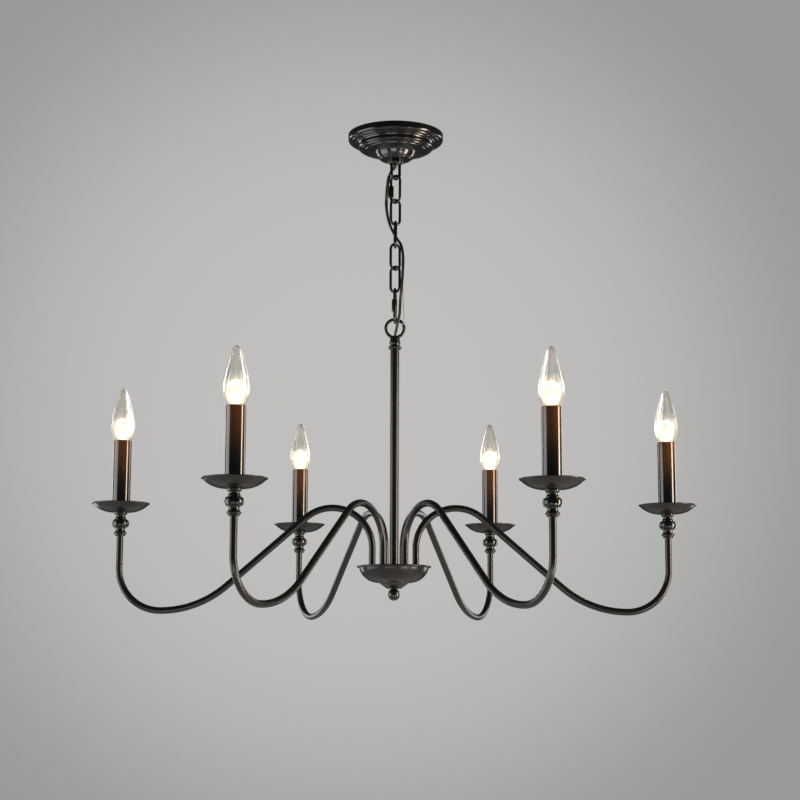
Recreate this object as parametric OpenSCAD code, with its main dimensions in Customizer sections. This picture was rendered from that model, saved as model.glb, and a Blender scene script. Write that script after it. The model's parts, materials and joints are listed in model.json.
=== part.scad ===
// Six-light candle chandelier: ceiling canopy, chain with power cord, stem, hub cup and six S-bent arms.
// The origin is the centre of the ceiling plate, on the ceiling plane. Everything hangs below it, towards -Z.
// The arms lie on the left and right, two towards the front (-Y) and two towards the back (+Y).

/* [Ceiling] */
// Diameter of the canopy at the ceiling
canopy_d = 145; // [120:1:170]
// Depth of the canopy below the ceiling
canopy_depth = 40; // [38:0.5:60]
// Sheet thickness of the canopy
canopy_wall = 1.2; // [0.8:0.1:2]
// Length of the crossbar
crossbar_len = 112; // [104:1:116]
// Distance between the crossbar's two screw slots
slot_spacing = 88.9; // [80:0.1:90]
// Length of one screw slot, end to end
slot_len = 14; // [8:0.5:18]
// Width of a screw slot
slot_w = 5; // [4:0.1:6]
// Outer diameter of the threaded nipple
nipple_d = 9.6; // [9:0.1:10.5]

/* [Hanging loop and chain] */
// Centre-line radius of the hanging loop under the canopy
loop_r = 7.2; // [7:0.1:7.4]
// Wire diameter of the hanging loop
loop_wire = 4.6; // [4:0.1:5]
// Wire diameter of the chain links
wire_d = 4; // [3.5:0.1:4.2]
// Outer width of a chain link
link_w = 20; // [19:0.5:22]
// Length of a plain link between the centres of its end wires
link_len = 39.2; // [34:0.2:50]
// The same length for the screw link at the top of the chain
top_link_len = 42.2; // [40:0.2:50]
// The same length for the screw link at the bottom of the chain
low_link_len = 51.3; // [45:0.1:60]
// Outer diameter of a screw link's nut
link_nut_d = 8.2; // [7:0.1:8.6]
// Length of a screw link's nut
link_nut_len = 19; // [16:0.5:20]
// Turn of each link's plane away from the view from the front, degrees
link_turn = 32; // [30:1:33]
// Free play between two linked wires
link_play = 0.35; // [0.3:0.05:0.6]

/* [Stem] */
// Centre-line radius of the ring on top of the stem
ring_r = 13.75; // [12:0.25:18]
// Wire diameter of that ring
ring_wire = 4.7; // [4:0.1:6]
// Outer diameter of the stem tube
stem_d = 13.4; // [12:0.1:16]
// Wall of the stem tube
stem_wall = 1; // [0.8:0.1:1.6]
// Drop from the ring's centre to the rim of the hub cup
stem_drop = 356.5; // [280:0.5:460]

/* [Hub] */
// Radius of the circle on which the arms enter the hub
hub_r = 32.2; // [29:0.1:38]
// Outer diameter of the hub cup's rolled lip
cup_d = 109.6; // [100:0.2:130]
// Depth of the hub cup from its lip to its bottom
cup_depth = 33.2; // [30:0.1:40]
// Sheet thickness of the hub cup
cup_wall = 1.2; // [0.8:0.1:2]
// Diameter of the ball finial
finial_d = 18; // [14:0.5:24]

/* [Arms] */
// Outer diameter of the arm tube
arm_d = 10; // [9:0.1:11]
// Wall of the arm tube
arm_wall = 1; // [0.8:0.1:1.5]
// Reach of an arm from the fixture's axis to its candle
arm_reach = 404.8; // [360:1:490]
// Height of the crest of an arm above the rim of the hub cup
crest_rise = 85.4; // [80:0.5:110]
// Bend radius at the crest
crest_r = 59.2; // [45:0.5:65]
// Slope of the straight stretch below level, degrees
arm_slope = 41; // [36:0.5:44]
// Bend radius going into the low point
entry_r = 147; // [120:1:170]
// Bend radius out of the low point, up to the candle
exit_r = 61.8; // [50:0.5:70]
// Height of the candle's knob above the arm's low point
knob_rise = 109.2; // [90:0.5:150]
// How much closer together the two back arms are turned, degrees each
back_turn = 6.4; // [0:0.1:10]

/* [Candles] */
// Diameter of the drip pan
pan_d = 85.4; // [70:0.2:110]
// Depth of the drip pan
pan_depth = 13.5; // [10:0.5:18]
// Sheet thickness of the drip pan
pan_wall = 1.2; // [0.8:0.1:2]
// Widest diameter of the turned knob
knob_d = 25.5; // [22:0.5:32]
// Outer diameter of the candle sleeve
sleeve_d = 26.5; // [25.5:0.5:30]
// Wall of the candle sleeve
sleeve_wall = 1.2; // [0.8:0.1:1.6]
// Height of the candle sleeve
sleeve_h = 105.5; // [80:0.5:140]
// Largest diameter of the bulb
bulb_d = 35; // [30:0.5:38]
// Height of the bulb's glass above its screw base
bulb_h = 82; // [70:0.5:95]

/* [Hidden] */
ARMS = [1:6];
// The arms in order from the right, anticlockwise seen from above: right, back right, back left, left,
// front left, front right.
arm_angle = [0, 60 + back_turn, 120 - back_turn, 180, 240, 300];
function numbered(name) = [for (k = ARMS) str(name, "_", k)];
$fn = 48;

slip = 0.05;               // radial clearance of a piece that turns or slides in a hole
clear = 0.3;               // gap between pieces on different bodies

// ceiling
crossbar_w = 17;
crossbar_t = 2.5;
nipple_bore_r = 3.4;
collar_r = 9.7;            // threaded collar of the hanging loop
collar_ring_r = 11.5;
collar_ring_t = 5;
loop_top_z = -canopy_depth + 11;
loop_shoulder_z = -canopy_depth - collar_ring_t - 0.5;
nipple_len = canopy_depth - 7;   // reaches into the loop's collar inside the canopy
loop_leg = 16;             // straight legs of the hanging loop, below its collar

// chain: the centre height of the lowest wire of each piece, from the hanging loop down
wire_r = wire_d / 2;
link_r = link_w / 2 - wire_r;
lens = [top_link_len, link_len, link_len, link_len, link_len, low_link_len];
turns = [-link_turn, link_turn, 3 * link_turn, link_turn, -link_turn, 84];
loop_turn = link_turn + 1;
loop_low_z = loop_shoulder_z - loop_leg - loop_r;
function link_low(k) = link_high(k) - lens[k - 1];
function link_high(k) = k == 1
    ? loop_low_z + loop_wire / 2 + wire_r + link_play
    : link_low(k - 1) + wire_d + link_play;
link_gap = 3;              // opening in a screw link, under the foot of its nut

// stem
ring_z = link_low(6) + wire_r + ring_wire / 2 + link_play - ring_r;
neck_top_z = ring_z - ring_r;
stem_top_z = ring_z - 26;
stem_r = stem_d / 2;
rim_z = ring_z - stem_drop;
wire_way_r = 3.6;

// hub
plate_z = rim_z - 4.8;     // top face of the hub plate
plate_t = 3;
plate_r = 44;
cup_bottom_z = rim_z - cup_depth;
stem_end_z = cup_bottom_z + cup_wall + 0.1;
stud_r = 3;
stud_len = 14;
hub_nut_h = 4;
thread_len = 9;            // threaded foot of an arm, below the hub plate

// arms, in a frame that starts on the arm's own tube in the hub
arm_r = arm_d / 2;
bore_r = arm_r - arm_wall;
crest_z = rim_z + crest_rise;
crest_mid_z = crest_z - crest_r;
span = arm_reach - hub_r;
low_x = span - exit_r;
slope_x = crest_r * (1 + sin(arm_slope));
slope_z = crest_mid_z + crest_r * cos(arm_slope);
slope_len = (low_x - entry_r * sin(arm_slope) - slope_x) / cos(arm_slope);
low_z = slope_z - slope_len * sin(arm_slope) - entry_r * (1 - cos(arm_slope));

// candle, upwards from the foot of its knob
knob_z = low_z + knob_rise;
knob_h = 35;
pan_z = knob_z + knob_h;
pan_floor_z = pan_z + pan_wall;
sleeve_top_z = pan_floor_z + sleeve_h;
socket_r = 10.5;
cap_r = 6.9;               // screw cap of the bulb
cap_h = 23;
glass_z = sleeve_top_z - 3;
bulb_wall = 1;

// the routes of the power cord and of the ground wire
cord_r = 1.8;
cord_route = [
    [0, 0, -38], [0, 0, -46], [-1.5, 2, -50], [-5, 3.5, -54], [-8, 3, -59], [-9.5, 1, -65], [-10.5, -1, -71],
    [-11.5, -2.5, -78], [-12.5, -3, -86], [-13, -2.5, -95], [-13.5, -1, -104], [-13.5, 0, -113],
    [-12.5, 1, -122], [-11, 1, -131], [-8.5, 0.5, -140], [-5.5, 0, -148], [-2, 0, -155], [1.5, 0, -161],
    [5.5, -0.5, -167], [9, -2, -174], [11, -3.5, -183], [12, -4.5, -193], [12, -5.5, -204],
    [11.5, -6.5, -215], [11, -7.5, -226], [10, -8.5, -237], [9, -8.5, -248], [8, -7, -259], [7.5, -6.5, -270],
    [7, -6.5, -280], [5.5, -6.5, -288], [4, -5.5, -295], [2.5, -3.5, -302], [1, -1.2, -309], [0, 0, -315],
    [0, 0, -326]];
ground_r = 0.7;
ground_route = [
    [2.9, 0, -38], [2.9, 0, -47], [1.5, 3.2, -51], [-3, 5.9, -53.5], [-7.5, 6.2, -57], [-11.5, 4, -63],
    [-13, 1, -70], [-14, 0.5, -78], [-15, 0.5, -88], [-15.5, 1, -98], [-16, 2, -108], [-15, 3, -118],
    [-13.5, 3.8, -127], [-11, 4, -136], [-8, 3.5, -144], [-5, 3, -151], [-1.5, 3, -157], [2.5, 3.5, -162],
    [6.5, 3.4, -165.5], [10, 2.5, -170], [11.5, 1, -178], [11, 0.5, -188], [10, -0.5, -199], [10.5, -1, -210],
    [11.5, -2, -221], [12, -3, -232], [12, -3.5, -243], [12, -4, -254], [12.5, -4.5, -265], [13, -5, -275],
    [13.5, -5.5, -284], [13, -5.5, -290], [12, -5.2, -293]];

// finishes
black = "#242122";
gloss_black = "#171514";
steel = "#8d8f92";

// ---- helpers ----

// A disc with a round edge, drawn as half of its outline for turning about the axis.
module rim_disc(r, z, t) {
    translate([0, z - t / 2]) square([r - t / 2, t]);
    translate([r - t / 2, z]) circle(d = t);
}

// A plain cylinder as half of its outline, from z0 up to z1.
module core(r, z0, z1) {
    translate([0, z0]) square([r, z1 - z0]);
}

// Keeps the half of an outline on the right of the axis and turns it into a solid.
module turned() {
    rotate_extrude($fn = 96) intersection() {
        children();
        translate([0, -2000]) square([1000, 4000]);
    }
}

// An arc of tube in the XZ plane: centre [x, z], radius r, from angle a0 anticlockwise to a1.
module bend(x, z, r, a0, a1) {
    translate([x, 0, z]) rotate([90, 0, 0]) rotate([0, 0, a0])
        rotate_extrude(angle = a1 - a0) translate([r, 0]) children();
}

// A wire or cord swept along a list of points with one section at each point.
function unit(v) = v / norm(v);
function ahead(route, i) =
    let (last = len(route) - 1)
    unit(route[min(i + 1, last)] - route[max(i - 1, 0)]);
function around(route, i, r, sides) =
    let (t = ahead(route, i), u = unit(cross(t, [0, 1, 0])), v = cross(t, u))
    [for (s = [0:sides - 1]) route[i] + r * (u * cos(360 * s / sides) + v * sin(360 * s / sides))];
module swept(route, r, sides = 8) {
    count = len(route);
    rings = [for (i = [0:count - 1]) each around(route, i, r, sides)];
    skin = [for (i = [0:count - 2], s = [0:sides - 1]) [
        i * sides + s, (i + 1) * sides + s, (i + 1) * sides + (s + 1) % sides, i * sides + (s + 1) % sides]];
    start = [for (s = [0:sides - 1]) s];
    end = [for (s = [sides - 1:-1:0]) (count - 1) * sides + s];
    polyhedron(points = rings, faces = concat([start], skin, [end]), convexity = 8);
}

// Puts a piece on arm k. The piece is drawn in the arm's own frame, its hub tube on the Z axis.
module on_arm(k) {
    rotate([0, 0, arm_angle[k - 1]]) translate([hub_r, 0, 0]) children();
}

// Puts a turned piece on the axis of candle k.
module on_candle(k) {
    rotate([0, 0, arm_angle[k - 1]]) translate([arm_reach, 0, 0]) children();
}

// ---- ceiling ----

module crossbar() {
    color(steel) difference() {
        translate([-crossbar_len / 2, -crossbar_w / 2, -crossbar_t])
            cube([crossbar_len, crossbar_w, crossbar_t]);
        for (side = [-1, 1]) translate([side * slot_spacing / 2, 0, -2 * crossbar_t]) {
            straight = slot_len - slot_w;
            translate([-straight / 2, -slot_w / 2, 0]) cube([straight, slot_w, 3 * crossbar_t]);
            for (end = [-1, 1])
                translate([end * straight / 2, 0, 0]) cylinder(d = slot_w, h = 3 * crossbar_t);
        }
        translate([0, 0, -2 * crossbar_t]) cylinder(r = nipple_d / 2 + slip, h = 3 * crossbar_t);
        translate([20, 0, -2 * crossbar_t]) cylinder(r = 2, h = 3 * crossbar_t);
    }
}

module nipple() {
    color(steel) translate([0, 0, -crossbar_t - nipple_len]) difference() {
        cylinder(d = nipple_d, h = nipple_len + crossbar_t);
        translate([0, 0, -1]) cylinder(r = nipple_bore_r, h = nipple_len + 2 * crossbar_t);
    }
}

// The nipple's lock nut under the crossbar, and the ground screw beside it.
module ceiling_fasteners() {
    color(steel) translate([0, 0, -crossbar_t - 4]) difference() {
        cylinder(r = 8, h = 4, $fn = 6);
        translate([0, 0, -1]) cylinder(r = nipple_d / 2 + slip, h = 6);
    }
    color("#2f7d3c") translate([20, 0, -crossbar_t - 2.6]) {
        cylinder(r = 4, h = 2.6);
        cylinder(r = 2 - slip, h = 2.6 + crossbar_t);
    }
}

// The outside of the canopy as half of its outline: a side band, then three stepped rings.
module canopy_half() {
    r = canopy_d / 2;
    d = canopy_depth;
    polygon([
        [0, 0], [r, 0], [r, -8], [r - 0.8, -10], [r - 3, -11.3], [r - 5, -11.8],
        [r - 5.6, -13.2], [r - 8, -13.8], [r - 14.5, -14.8], [r - 15.3, -17], [r - 15.6, -20.5],
        [r - 17, -22.4], [r - 19.5, -23.3], [r - 20.5, -24.6], [r - 24, -25.2], [r - 42, -27.5],
        [r - 43.6, -29.5], [r - 44.2, 5 - d], [r - 45.6, 3 - d], [r - 48.5, 2 - d], [r - 52, 1 - d],
        [collar_ring_r + 2, -d], [0, -d]]);
}

module canopy() {
    color(gloss_black) rotate_extrude($fn = 120) difference() {
        canopy_half();
        translate([-canopy_wall, canopy_wall]) canopy_half();
        core(collar_r + clear, -canopy_depth - 1, 0);
    }
}

module collar_ring() {
    foot_z = -canopy_depth - collar_ring_t;
    edge = 0.8;
    color(gloss_black) turned() difference() {
        union() {
            core(collar_ring_r, foot_z + edge, -canopy_depth);
            core(collar_ring_r - edge, foot_z, -canopy_depth);
            translate([collar_ring_r - edge, foot_z + edge]) circle(edge);
        }
        core(collar_r + slip, -2 * canopy_depth, 0);
    }
}

// A threaded collar with a wire way, carrying a bow of thick wire that the chain hangs on.
module canopy_loop() {
    bow_z = loop_shoulder_z - loop_leg;
    color(gloss_black) {
        difference() {
            translate([0, 0, loop_shoulder_z]) cylinder(r = collar_r, h = loop_top_z - loop_shoulder_z);
            translate([0, 0, -crossbar_t - nipple_len]) cylinder(r = nipple_d / 2 + slip, h = nipple_len);
            translate([0, 0, loop_shoulder_z - 1]) cylinder(r = 4.4, h = nipple_len);
        }
        rotate([0, 0, loop_turn]) {
            for (side = [-1, 1])
                translate([side * loop_r, 0, bow_z]) cylinder(d = loop_wire, h = loop_leg + 1);
            bend(0, bow_z, loop_r, 180, 360) circle(d = loop_wire);
        }
    }
}

// ---- chain ----

// One link, hanging in the XZ plane with its lowest wire centred at z = 0.
module link_wire(length, open_from = 0, open_to = 0) {
    top = length - link_r;
    translate([link_r, 0, link_r]) cylinder(r = wire_r, h = length - 2 * link_r);
    difference() {
        translate([-link_r, 0, link_r]) cylinder(r = wire_r, h = length - 2 * link_r);
        if (open_to > open_from)
            translate([-link_r, 0, open_from]) cylinder(r = wire_d, h = open_to - open_from);
    }
    bend(0, link_r, link_r, 180, 360) circle(wire_r);
    bend(0, top, link_r, 0, 180) circle(wire_r);
}

// Height of a screw nut's foot above the lowest wire of its link.
top_nut_foot = link_r + 0.3;
low_nut_foot = (low_link_len - link_nut_len) / 2 - 1;

module on_link(k) {
    translate([0, 0, link_low(k)]) rotate([0, 0, turns[k - 1]]) children();
}

module chain_link(k) {
    foot = k == 1 ? top_nut_foot : low_nut_foot;
    screwed = k == 1 || k == 6;
    color(black) on_link(k)
        if (screwed) link_wire(lens[k - 1], foot + 1, foot + 1 + link_gap);
        else link_wire(lens[k - 1]);
}

// The sleeve nut that closes a screw link, with rounded ends.
module link_nut(k, foot) {
    edge = 1.2;
    color(black) on_link(k) translate([-link_r, 0, foot]) turned() difference() {
        union() {
            core(link_nut_d / 2, edge, link_nut_len - edge);
            core(link_nut_d / 2 - edge, 0, link_nut_len);
            for (z = [edge, link_nut_len - edge]) translate([link_nut_d / 2 - edge, z]) circle(edge);
        }
        core(wire_r + slip, -1, link_nut_len + 1);
    }
}

// ---- cords ----

module power_cord() {
    color("#161515") swept(cord_route, cord_r);
}

module ground_wire() {
    color("#b9b6ae") swept(ground_route, ground_r);
}

// ---- stem ----

// A round ring on a neck with two turned beads; the wire way runs down its middle into the stem.
module stem_loop() {
    color(gloss_black) difference() {
        union() {
            translate([0, 0, ring_z]) rotate([90, 0, 0])
                rotate_extrude($fn = 96) translate([ring_r, 0]) circle(d = ring_wire);
            turned() {
                core(7.3, ring_z - 32.4, neck_top_z + 1.4);
                rim_disc(8.6, ring_z - 22.6, 3.6);
                rim_disc(10.5, ring_z - 29.6, 4.8);
            }
        }
        translate([0, 0, ring_z - 34]) cylinder(r = stem_r - stem_wall - slip, h = 6);
        translate([0, 0, ring_z - 30]) cylinder(r = wire_way_r, h = 20);
    }
}

// The screw that holds the ground wire's end on the ring.
module ground_screw() {
    lean = 31;
    color(steel) translate([ring_r * cos(lean), -ring_wire / 2 - 0.05, ring_z + ring_r * sin(lean)])
        rotate([90, 0, 0]) {
            cylinder(r = 2.3, h = 1.2);
            translate([0, 0, 1.2]) cylinder(r = 1.6, h = 0.8);
        }
}

// The stem reaches through the hub plate to the bottom of the cup, where its plug takes the finial's stud.
module stem_tube() {
    inner = stem_r - stem_wall;
    plug_z = stem_end_z + stud_len + 4;
    color(black) difference() {
        translate([0, 0, stem_end_z]) cylinder(r = stem_r, h = ring_z - 32.4 - stem_end_z);
        translate([0, 0, plug_z]) cylinder(r = inner, h = stem_drop);
        translate([0, 0, stem_end_z - 1]) cylinder(r = stud_r + slip, h = stud_len + 1);
        translate([-stem_d, 0, plug_z + 2.2]) rotate([0, 90, 0]) cylinder(r = 2, h = 2 * stem_d);
    }
}

// ---- hub ----

module hub_plate() {
    color(steel) difference() {
        translate([0, 0, plate_z - plate_t]) cylinder(r = plate_r, h = plate_t, $fn = 96);
        translate([0, 0, plate_z - 2 * plate_t]) cylinder(r = stem_r + slip, h = 3 * plate_t);
        for (k = ARMS) on_arm(k) translate([0, 0, plate_z - 2 * plate_t])
            cylinder(r = arm_r + slip, h = 3 * plate_t);
    }
}

// One nut above and one below the hub plate on each arm.
module hub_nuts() {
    color(steel) for (k = ARMS, z = [plate_z, plate_z - plate_t - hub_nut_h]) on_arm(k) translate([0, 0, z])
        difference() {
            cylinder(r = 8.2, h = hub_nut_h, $fn = 6);
            translate([0, 0, -1]) cylinder(r = arm_r + slip, h = hub_nut_h + 2);
        }
}

// Twist-on connectors that join the arms' leads to the power cord, inside the cup.
module wire_connectors() {
    color("#b5762c") for (a = [30, 210]) rotate([0, 0, a]) translate([19, 0, plate_z - plate_t - 14])
        cylinder(r1 = 3, r2 = 4.5, h = 12);
}

// The bowl of the hub as half of its outline: rim plane at z = 0, a round wall and a stepped foot.
module cup_half() {
    bowl_x = cup_d / 2 - 30.8;
    bowl_r = 28.2;
    foot_z = -cup_depth;
    flat_z = foot_z + 8.7;
    rim_a = asin(-(flat_z + bowl_r) / bowl_r);
    steps = 14;
    polygon([
        [0, foot_z], [10.5, foot_z], [bowl_x - 3.3, flat_z - 1.3], [bowl_x - 2, flat_z - 0.4],
        [bowl_x - 2, flat_z],
        for (i = [0:steps]) let (a = -90 + (rim_a + 90) * i / steps)
            [bowl_x + bowl_r * cos(a), flat_z + bowl_r + bowl_r * sin(a)],
        [0, 0]]);
}

module hub_cup() {
    lip = 2.4;
    lip_reach = 3.4;
    color(black) translate([0, 0, rim_z]) rotate_extrude($fn = 120) difference() {
        union() {
            difference() {
                cup_half();
                translate([-cup_wall, cup_wall]) cup_half();
            }
            translate([cup_d / 2 - lip / 2 - lip_reach, -lip]) square([lip_reach, lip]);
            translate([cup_d / 2 - lip / 2, -lip / 2]) circle(d = lip);
        }
        core(stud_r + clear, -cup_depth - 1, 0);
    }
}

module finial() {
    ball_z = cup_bottom_z - finial_d / 2 + 0.4;
    color(gloss_black) difference() {
        union() {
            translate([0, 0, ball_z]) sphere(d = finial_d, $fn = 96);
            translate([0, 0, ball_z]) cylinder(r = stud_r, h = stem_end_z + stud_len - 1 - ball_z);
        }
        translate([0, 0, cup_bottom_z]) difference() {
            cylinder(r = finial_d, h = finial_d);
            translate([0, 0, -1]) cylinder(r = stud_r, h = 2 * finial_d);
        }
    }
}

// ---- arms ----

// Up out of the hub, over the crest, down the slope, round the low point and up to the candle.
// The end of each straight stretch sits inside the bend next to it.
module arm_run(r, past = 0) {
    lap = 1;
    seat = 0.02;
    foot_z = plate_z - plate_t - thread_len - past;
    top_z = pan_floor_z + 8 + past;
    translate([0, 0, foot_z]) cylinder(r = r - seat, h = crest_mid_z + lap - foot_z);
    bend(crest_r, crest_mid_z, crest_r, 90 - arm_slope, 180) circle(r);
    translate([slope_x, 0, slope_z]) rotate([0, 90 + arm_slope, 0]) translate([0, 0, -lap])
        cylinder(r = r - seat, h = slope_len + 2 * lap);
    bend(low_x, low_z + entry_r, entry_r, 270 - arm_slope, 270.4) circle(r);
    bend(low_x, low_z + exit_r, exit_r, 270, 360) circle(r + seat);
    translate([span, 0, low_z + exit_r - lap]) cylinder(r = r, h = top_z + lap - low_z - exit_r);
}

module arm_tube(k) {
    color(black) on_arm(k) difference() {
        arm_run(arm_r);
        arm_run(bore_r, 1);
    }
}

// A turned knob: foot collar, flange, waist, ball, waist and a flange that carries the pan.
module arm_knob(k) {
    r = knob_d / 2;
    color(gloss_black) on_candle(k) translate([0, 0, knob_z]) turned() difference() {
        union() {
            rim_disc(7.8, 1.2, 2.4);
            rim_disc(r - 3, 4, 3);
            core(7.2, 1, knob_h - 1);
            rim_disc(r, 18.4, 12.2);
            rim_disc(8.6, 25.4, 2);
            rim_disc(r - 2.9, knob_h - 1.6, 3.2);
        }
        core(arm_r + slip, -1, knob_h + 1);
    }
}

// ---- candles ----

// The pan's outside as half of its outline, from its flat floor up to its rim.
module pan_half() {
    flat_r = sleeve_d / 2 + clear;
    sweep = pan_d / 2 - flat_r;
    arc_r = (sweep * sweep + pan_depth * pan_depth) / (2 * pan_depth);
    core(flat_r, 0, pan_depth);
    intersection() {
        translate([flat_r, arc_r]) circle(arc_r, $fn = 120);
        translate([0, 0]) square([pan_d / 2, pan_depth]);
    }
}

module drip_pan(k) {
    color(black) on_candle(k) translate([0, 0, pan_z]) rotate_extrude($fn = 96) {
        difference() {
            pan_half();
            translate([0, pan_wall]) pan_half();
            translate([0, pan_depth - 0.01]) square([pan_d, pan_wall]);
            core(arm_r + slip, -1, pan_depth);
        }
        translate([pan_d / 2 - pan_wall * 0.75, pan_depth - 0.7]) circle(d = pan_wall * 1.5);
    }
}

module candle_sleeve(k) {
    color(black) on_candle(k) translate([0, 0, pan_floor_z]) linear_extrude(sleeve_h) difference() {
        circle(d = sleeve_d);
        circle(d = sleeve_d - 2 * sleeve_wall);
    }
}

// A screw socket on a hollow rod that is screwed over the top of the arm tube.
module lamp_socket(k) {
    socket_top = glass_z - 2;
    socket_foot = socket_top - 40;
    color("#2b2a28") on_candle(k) turned() difference() {
        union() {
            core(7.5, pan_floor_z, pan_floor_z + 13);
            core(4, pan_floor_z + 12, socket_foot + 1);
            core(socket_r, socket_foot, socket_top);
        }
        core(arm_r + slip, pan_floor_z - 1, pan_floor_z + 9);
        core(2.5, pan_floor_z, socket_foot + 5);
        core(cap_r + clear, socket_top - cap_h - 2, socket_top + 1);
    }
}

// The bulb's glass outline: a round belly above the cap, narrowing to a slimmer flame with a round tip.
module flame(r, h) {
    low_h = 25;
    neck = 8.5;
    slim = 0.74;
    high_h = h - low_h;
    low_arc = (low_h * low_h + (r - neck) * (r - neck)) / (2 * (r - neck));
    steps = 14;
    polygon([
        [0, 0],
        for (i = [0:steps]) let (z = low_h * (1 - i / steps))
            [r - low_arc + sqrt(low_arc * low_arc - z * z), low_h - z],
        for (i = [1:steps - 1])
            let (t = sin(90 * i / steps), taper = pow(cos(90 * min(t / 0.8, 1)), 2))
            [r * cos(90 * i / steps) * (slim + (1 - slim) * taper), low_h + high_h * t],
        [0, h]]);
}

module bulb(k) {
    cap_foot = glass_z - 2 - cap_h;
    color("#f4ead0") on_candle(k) turned() difference() {
        union() {
            translate([0, glass_z]) flame(bulb_d / 2, bulb_h);
            core(cap_r, cap_foot, glass_z + 0.5);
        }
        translate([-bulb_wall, glass_z + bulb_wall]) flame(bulb_d / 2, bulb_h - 2 * bulb_wall);
        core(cap_r - bulb_wall, cap_foot - 1, glass_z + 2 * bulb_wall);
    }
}

crossbar();
nipple();
ceiling_fasteners();
canopy();
canopy_loop();
collar_ring();
for (k = ARMS) chain_link(k);
link_nut(1, top_nut_foot);  // top_link_nut
link_nut(6, low_nut_foot);  // low_link_nut
power_cord();
ground_wire();
stem_loop();
ground_screw();
stem_tube();
hub_plate();
hub_nuts();
wire_connectors();
hub_cup();
finial();
for (k = ARMS) arm_tube(k);
for (k = ARMS) arm_knob(k);
for (k = ARMS) drip_pan(k);
for (k = ARMS) candle_sleeve(k);
for (k = ARMS) lamp_socket(k);
for (k = ARMS) bulb(k);
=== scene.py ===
# Six-light candle chandelier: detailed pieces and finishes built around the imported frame.
# Everything is in metres in the frame's own axes: +Z up to the ceiling, the front is -Y.
import json
import math

import bmesh
import bpy
from mathutils import Matrix, Vector


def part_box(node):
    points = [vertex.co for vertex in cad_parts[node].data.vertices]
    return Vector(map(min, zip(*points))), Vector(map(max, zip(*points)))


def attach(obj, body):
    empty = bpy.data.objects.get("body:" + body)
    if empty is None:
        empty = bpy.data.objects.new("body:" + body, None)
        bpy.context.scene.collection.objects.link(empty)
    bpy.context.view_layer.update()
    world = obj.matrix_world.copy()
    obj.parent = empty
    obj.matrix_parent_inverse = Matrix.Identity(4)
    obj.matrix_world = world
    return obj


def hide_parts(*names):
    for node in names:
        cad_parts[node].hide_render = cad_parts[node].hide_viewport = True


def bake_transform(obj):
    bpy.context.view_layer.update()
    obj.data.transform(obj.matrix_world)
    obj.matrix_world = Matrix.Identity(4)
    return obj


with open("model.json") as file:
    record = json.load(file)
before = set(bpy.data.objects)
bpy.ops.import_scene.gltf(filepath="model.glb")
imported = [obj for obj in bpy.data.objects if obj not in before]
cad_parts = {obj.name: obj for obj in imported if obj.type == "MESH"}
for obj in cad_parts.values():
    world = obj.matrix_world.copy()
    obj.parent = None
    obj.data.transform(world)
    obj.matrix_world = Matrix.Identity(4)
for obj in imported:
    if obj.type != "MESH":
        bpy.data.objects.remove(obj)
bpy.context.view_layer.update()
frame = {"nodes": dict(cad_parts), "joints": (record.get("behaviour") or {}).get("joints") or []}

MM = 0.001
ARMS = range(1, 7)
LINKS = range(1, 7)

# ---- places, all from the frame ----


def middle(node):
    """The centre of a node's box."""
    low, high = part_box(node)
    return (low + high) / 2


def joint(name):
    """The record's entry for a joint."""
    return next(j for j in frame["joints"] if j["name"] == name)


def put(made):
    """Links an object into the scene and hands it back."""
    bpy.context.scene.collection.objects.link(made)
    return made


HINGES = ["loop_link_1_swing", *[f"link_{k}_link_{k + 1}_swing" for k in range(1, 6)], "link_6_ring_swing"]
PIVOTS = [joint(name)["pos_m"][2] for name in HINGES]

# ---- camera ----

LENS_MM = 75.07
SENSOR_MM = 36.0
CAMERA_AT = Vector((0.008, -2.4652, -0.7980))
CAMERA_UP_DEG = 8.93
CAMERA_ROLL_DEG = 0.2

camera_data = bpy.data.cameras.new("camera")
camera_data.lens = LENS_MM
camera_data.sensor_width = SENSOR_MM
camera_data.clip_start = 0.05
camera_data.clip_end = 100
camera = put(bpy.data.objects.new("camera", camera_data))
camera.matrix_world = (
    Matrix.Translation(CAMERA_AT)
    @ Matrix.Rotation(math.radians(90 + CAMERA_UP_DEG), 4, "X")
    @ Matrix.Rotation(math.radians(CAMERA_ROLL_DEG), 4, "Z")
)
bpy.context.scene.camera = camera
bpy.context.scene.view_settings.view_transform = "Standard"

# ---- finishes ----


def linear(hex_code):
    """An sRGB hex colour as linear red, green, blue and alpha."""
    channels = [int(hex_code[i:i + 2], 16) / 255 for i in (1, 3, 5)]
    return tuple(c / 12.92 if c <= 0.04045 else ((c + 0.055) / 1.055) ** 2.4 for c in channels) + (1.0,)


def add(tree, kind, settings=None, inputs=None, links=None):
    """Adds a node. inputs are values by socket, links are (output, node's own socket) pairs."""
    node = tree.nodes.new(kind)
    for name, value in (settings or {}).items():
        setattr(node, name, value)
    for name, value in (inputs or {}).items():
        node.inputs[name].default_value = value
    for output, socket in links or []:
        tree.links.new(output, node.inputs[socket])
    return node


def ramp(node, *stops):
    """Sets a colour ramp's stops, as (position, colour)."""
    while len(node.color_ramp.elements) > 1:
        node.color_ramp.elements.remove(node.color_ramp.elements[-1])
    node.color_ramp.elements[0].position, node.color_ramp.elements[0].color = stops[0]
    for position, colour in stops[1:]:
        node.color_ramp.elements.new(position).color = colour
    return node


def finish(name, **sockets):
    """A new material and its shader, with the uniform values on the shader's own sockets."""
    material = bpy.data.materials.new(name)
    material.use_nodes = True
    shader = material.node_tree.nodes["Principled BSDF"]
    for socket, value in sockets.items():
        shader.inputs[socket.replace("_", " ")].default_value = value
    return material, material.node_tree, shader


def per_mm(size_mm):
    """A noise scale whose features are about this many millimetres across."""
    return 1 / (size_mm * MM)


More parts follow.
